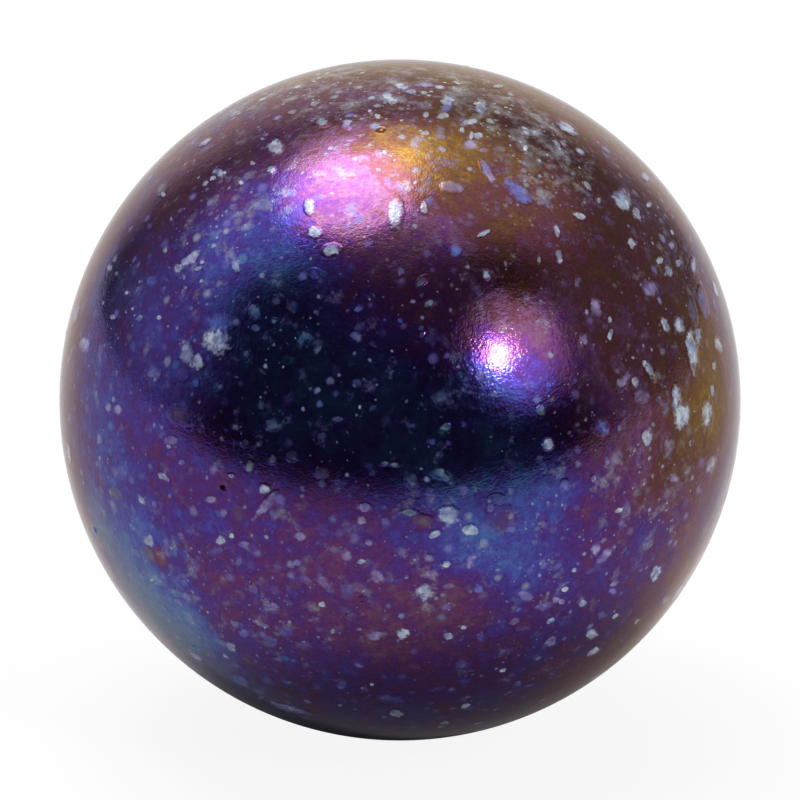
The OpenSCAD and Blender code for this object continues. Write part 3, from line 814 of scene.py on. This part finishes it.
# %% Skin: orange peel and long waves
WAVE_HIGH = 0.03 * MM
PEEL_HIGH = 0.01 * MM
waves = add(skin, NOISE, {"Vector": place, "Scale": per_mm(1.8), "Detail": 1.0})
peel = add(skin, NOISE, {"Vector": place, "Scale": per_mm(0.17), "Detail": 2.2, "Roughness": 0.8})
wave_height = add(skin, MATH, [waves, WAVE_HIGH], operation="MULTIPLY")
skin_height = add(skin, MATH, [peel, PEEL_HIGH, wave_height], operation="MULTIPLY_ADD")
bumps = add(skin, "ShaderNodeBump", {"Height": skin_height, "Strength": 1.0, "Distance": 1.0})
print("waves up to", WAVE_HIGH / MM, "mm and peel up to", PEEL_HIGH / MM, "mm high")

# %% [markdown]
# The layers lie on each other as in the roll: film, powder, dust and then chips. Where grains of
# glass cover the film, the skin is no longer a mirror. The specular tint is the film's pale
# colour at a low angle, and a thin clear coat stands for the glass that the flame left on top.
# The film counts as a metal, so the IOR stays at Blender's default.

# %% Put the glass together
mottle = add(skin, RANGE, [peel, 0.3, 0.7, 0.75, 1.2])
colour = add(skin, VECTOR_MATH, {0: film.outputs["Color"], "Scale": mottle}, operation="SCALE")
MIRROR, PLAIN = 0.98, 0.1          # how metallic the bare film and the covered skin are
GLOSSY, DULL = 0.07, 0.16          # the roughness moves between these
cover = 0.0
for amount, tone in ((powder, powder_mix), (dust, dust_tone), (chip, chip_tone)):
    colour = add(skin, MIX, {"Factor": amount, COLOUR_A: colour, COLOUR_B: tone},
                 data_type="RGBA").outputs[MIXED_COLOUR]
    cover = add(skin, MATH, [amount, cover], operation="MAXIMUM")
metal = add(skin, RANGE, [cover, 0.0, 1.0, MIRROR, PLAIN])
rough = add(skin, RANGE, [grain, 0.3, 0.7, GLOSSY, DULL])
surface = add(skin, "ShaderNodeBsdfPrincipled", {
    "Base Color": colour, "Metallic": metal, "Roughness": rough, "Normal": bumps,
    "Specular Tint": linear("#efe0c8"), "Coat Weight": 0.18, "Coat Roughness": 0.12,
})
add(skin, "ShaderNodeOutputMaterial", {"Surface": surface})
print("glass of", len(skin.nodes), "nodes")

# %% The marble goes with the part's body and stands for its solid
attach(marble, "root")
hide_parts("marble")
print(marble.name, "stands for the solid")

# %% [markdown]
# ## Floor, light and camera
#
# The photograph was taken in a small open tent: a white floor that ends a hand's width in front of the
# ball, a white back, a soft lamp overhead, one small lamp at the front right, and a dark room
# behind the viewer. The ball mirrors all of it, so the dark room gives it its black middle.

# %% Floor
FLOOR_FRONT = -0.125
FLOOR_BACK = 0.9
FLOOR_SIDE = 0.6
floor_corners = [
    (-FLOOR_SIDE, FLOOR_FRONT, -BALL_R), (FLOOR_SIDE, FLOOR_FRONT, -BALL_R),
    (FLOOR_SIDE, FLOOR_BACK, -BALL_R), (-FLOOR_SIDE, FLOOR_BACK, -BALL_R),
]
floor_mesh = bpy.data.meshes.new("floor")
floor_mesh.from_pydata(floor_corners, [], [(0, 1, 2, 3)])
floor = bpy.data.objects.new("floor", floor_mesh)
bpy.context.collection.objects.link(floor)
print("floor ends", round(-FLOOR_FRONT / MM), "mm in front of the ball")

# %% [markdown]
# The floor is matt white card. It has to look white behind the ball and still keep the ball's
# soft shadow, so the camera sees it mostly as plain white. In the ball it is darker close by,
# in the ball's own shadow. Towards its front and its far end it is darker as painted shade:
# its colour and glow are turned down there for light that falls off.

# %% White card
paper = bpy.data.materials.new("white_card")
paper.use_nodes = True
sheet = paper.node_tree
sheet.nodes.clear()
ray = add(sheet, "ShaderNodeLightPath").outputs
spot = add(sheet, "ShaderNodeTexCoord").outputs["Object"]
spot_y = add(sheet, "ShaderNodeSeparateXYZ", [spot]).outputs["Y"]
mirrored = add(sheet, MATH, [ray["Is Glossy Ray"], ray["Is Transmission Ray"]], operation="MAXIMUM")
# painted shade: in the ball the card's colour and glow fall off towards the front
painted_front_falloff = add(sheet, RANGE, [spot_y, -0.10, -0.022, 0.1, 0.82], interpolation_type="SMOOTHSTEP")
painted_fade = add(sheet, MIX, {"Factor": mirrored, VALUE_A: 1.0, VALUE_B: painted_front_falloff})
card_tone = add(sheet, VECTOR_MATH, {0: linear("#dcdcdc")[:3], "Scale": painted_fade}, operation="SCALE")
card = add(sheet, "ShaderNodeBsdfDiffuse", {"Color": card_tone})
glow = add(sheet, "ShaderNodeEmission", {"Color": (1, 1, 1, 1), "Strength": painted_fade})
off = add(sheet, VECTOR_MATH, [spot], operation="LENGTH").outputs["Value"]
clear_near = add(sheet, RANGE, [off, 0.015, 0.04, 0.0, 0.45])
# painted shade: in the ball the card's glow is turned down towards its far end
painted_far_dimming = add(sheet, RANGE, [off, 0.06, 0.13, 1.0, 0.7])
clear = add(sheet, MATH, [clear_near, painted_far_dimming], operation="MULTIPLY")
mirrored_part = add(sheet, MATH, [mirrored, clear], operation="MULTIPLY")
camera_part = add(sheet, MATH, [ray["Is Camera Ray"], 0.9], operation="MULTIPLY")
glow_part = add(sheet, MATH, [camera_part, mirrored_part], operation="MAXIMUM")
floor_look = add(sheet, "ShaderNodeMixShader", [glow_part, card, glow])
add(sheet, "ShaderNodeOutputMaterial", {"Surface": floor_look})
floor_mesh.materials.append(paper)
print("card of", len(sheet.nodes), "nodes")

# %% [markdown]
# The tent could be built of walls and lamps, but in a ball only the direction of each shows. So
# the world is a dim room with soft round patches of light, each at the direction that its
# reflection in the marble gives. The camera itself sees plain white behind the ball.

# %% The tent, as soft patches of light round the ball
ROOM_LIGHT = 0.043
PATCHES = [     # direction, full inside this many degrees, gone at this many, strength
    ((-0.22, 0.15, 0.96), 11, 22, 6.4),       # lamp over the tent
    ((-0.16, 0.36, 0.92), 6, 23, 3.0),       # its reflector, further back
    ((-0.14, 0.28, 0.95), 8, 50, 0.6),       # its glow in the roof
    ((0.25, 0.28, 0.92), 4, 39, 1.2),        # its spill to the right
    ((-0.60, 0.18, 0.78), 4, 27, 0.6),       # its spill to the left
    ((-0.85, 0.30, 0.40), 10, 38, 0.45),     # left wall, upper part
    ((-0.95, 0.05, 0.25), 8, 30, 0.25),      # left wall, lower part
    ((-0.05, 1.00, 0.14), 18, 41, 1.05),     # back wall
    ((0.92, 0.30, 0.35), 20, 50, 0.46),      # right wall
    ((0.05, -0.45, 0.88), 2, 36, 0.11),      # ceiling of the dark room, above the viewer
    ((0.65, -0.57, 0.50), 0, 21, 2.8),       # shade of the small lamp
]
world = bpy.data.worlds.new("photo_tent")
bpy.context.scene.world = world
world.use_nodes = True
tent = world.node_tree
tent.nodes.clear()
look = add(tent, "ShaderNodeTexCoord").outputs["Generated"]
light_sum = ROOM_LIGHT
for way, full, gone, strength in PATCHES:
    facing = add(tent, VECTOR_MATH, [look, Vector(way).normalized()],
                 operation="DOT_PRODUCT").outputs["Value"]
    none_at, full_at = math.cos(math.radians(gone)), math.cos(math.radians(full))
    patch = add(tent, RANGE, [facing, none_at, full_at, 0.0, strength], interpolation_type="SMOOTHSTEP")
    light_sum = add(tent, MATH, [light_sum, patch], operation="ADD")
print(len(PATCHES), "soft patches of light")

# %% The tent's white back, and what the camera sees
ray = add(tent, "ShaderNodeLightPath").outputs
back = add(tent, "ShaderNodeSeparateXYZ", [look]).outputs["Y"]
behind = add(tent, RANGE, [back, 0.9, 1.0])
mirrored = add(tent, MATH, [ray["Is Glossy Ray"], ray["Is Transmission Ray"]], operation="MAXIMUM")
mirrored_back = add(tent, MATH, [mirrored, behind], operation="MULTIPLY")
white_there = add(tent, MATH, [ray["Is Camera Ray"], mirrored_back], operation="MAXIMUM")
dim = add(tent, "ShaderNodeBackground", {"Color": linear("#f4f4ff"), "Strength": light_sum})
white = add(tent, "ShaderNodeBackground", {"Color": (1, 1, 1, 1), "Strength": 1.0})
sky = add(tent, "ShaderNodeMixShader", [white_there, dim, white])
add(tent, "ShaderNodeOutputWorld", {"Surface": sky})
print("world of", len(tent.nodes), "nodes")

# %% [markdown]
# The small lamp is a real lamp and not a patch of the world, because its reflection is small and
# much brighter than the rest. A disk gives it the round shape that the marble mirrors.

# %% Small lamp at the front right
LAMP_WAY = (0.542, -0.670, 0.508)
LAMP_AWAY = 0.45
lamp_data = bpy.data.lights.new("small_lamp", "AREA")
lamp_data.shape = "DISK"
lamp_data.size = 0.053
lamp_data.energy = 0.5
lamp = bpy.data.objects.new("small_lamp", lamp_data)
lamp.location = Vector(LAMP_WAY).normalized() * LAMP_AWAY
lamp.rotation_euler = lamp.location.to_track_quat("Z", "Y").to_euler()
bpy.context.collection.objects.link(lamp)
print("lamp at", [round(c / MM) for c in lamp.location], "mm")

# %% [markdown]
# The camera looks along the best side's own direction, 20 degrees above level. A near camera
# would show less than half of the ball, so it stands far off with a long lens, whose length
# follows from the size that the ball has in the photograph.

# %% Camera
SHOT = 1.2               # from the ball, in metres
SENSOR = 36
FRAME_PX = 800
SHOWN_R = 340.6          # the ball's radius in the picture, in pixels
camera_data = bpy.data.cameras.new("camera")
camera_data.sensor_width = SENSOR
camera_data.lens = SENSOR * (SHOWN_R / FRAME_PX) / math.tan(math.asin(BALL_R / SHOT))
camera = bpy.data.objects.new("camera", camera_data)
camera.location = SEEN * SHOT
camera.rotation_euler = (math.pi / 2 - TILT, 0, 0)
bpy.context.collection.objects.link(camera)
bpy.context.scene.camera = camera
bpy.context.scene.view_settings.view_transform = "Standard"
print("lens of", round(camera_data.lens, 1), "mm")
